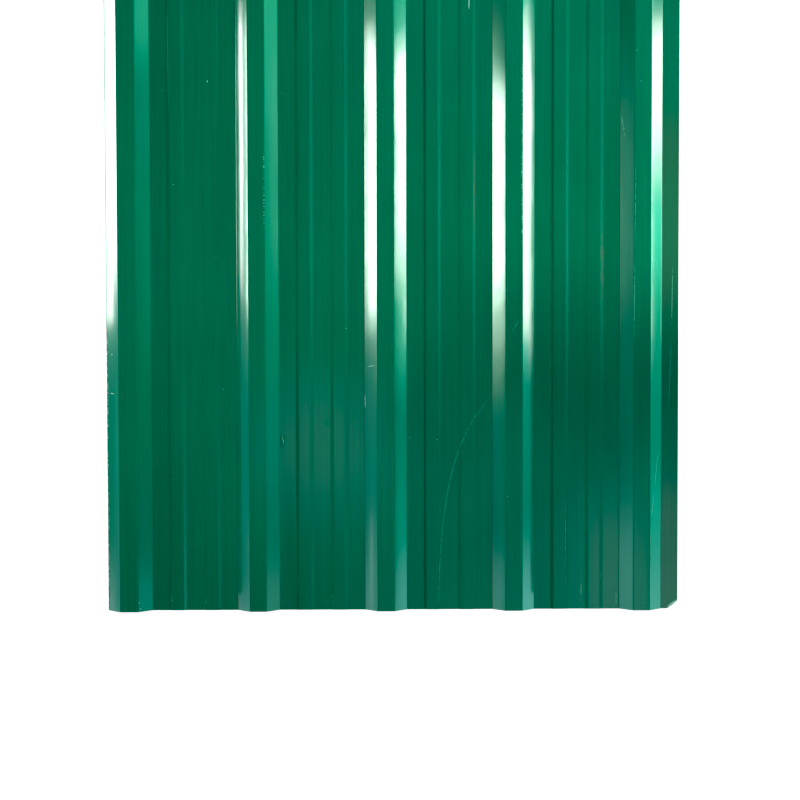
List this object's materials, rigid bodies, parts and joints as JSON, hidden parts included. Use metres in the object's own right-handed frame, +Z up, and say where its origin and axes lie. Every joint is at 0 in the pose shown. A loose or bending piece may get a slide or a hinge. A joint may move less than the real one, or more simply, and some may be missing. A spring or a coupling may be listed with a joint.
{
  "type": "ribbed metal roofing sheet",
  "caption": "Flat-lying roll-formed steel roofing sheet, green paint, with trapezoidal ribs, swaged pans between them, a lip on one side edge and a flat leg on the other.",
  "frame": {"origin": "under the middle of the sheet, on the floor that its pans lie on", "axes": "+Y along the ribs, from the end with the lost corner to the other end; +X across the ribs, from the lap lip to the flat leg; +Z up, the way the ribs stand"},
  "size_m": [0.941, 2, 0.0175],
  "materials": {
    "painted_steel": "gloss coil paint, scratched and worn"
  },
  "bodies": {
    "root": {"ribbed_sheet": "painted_steel"}
  },
  "joints": []
}
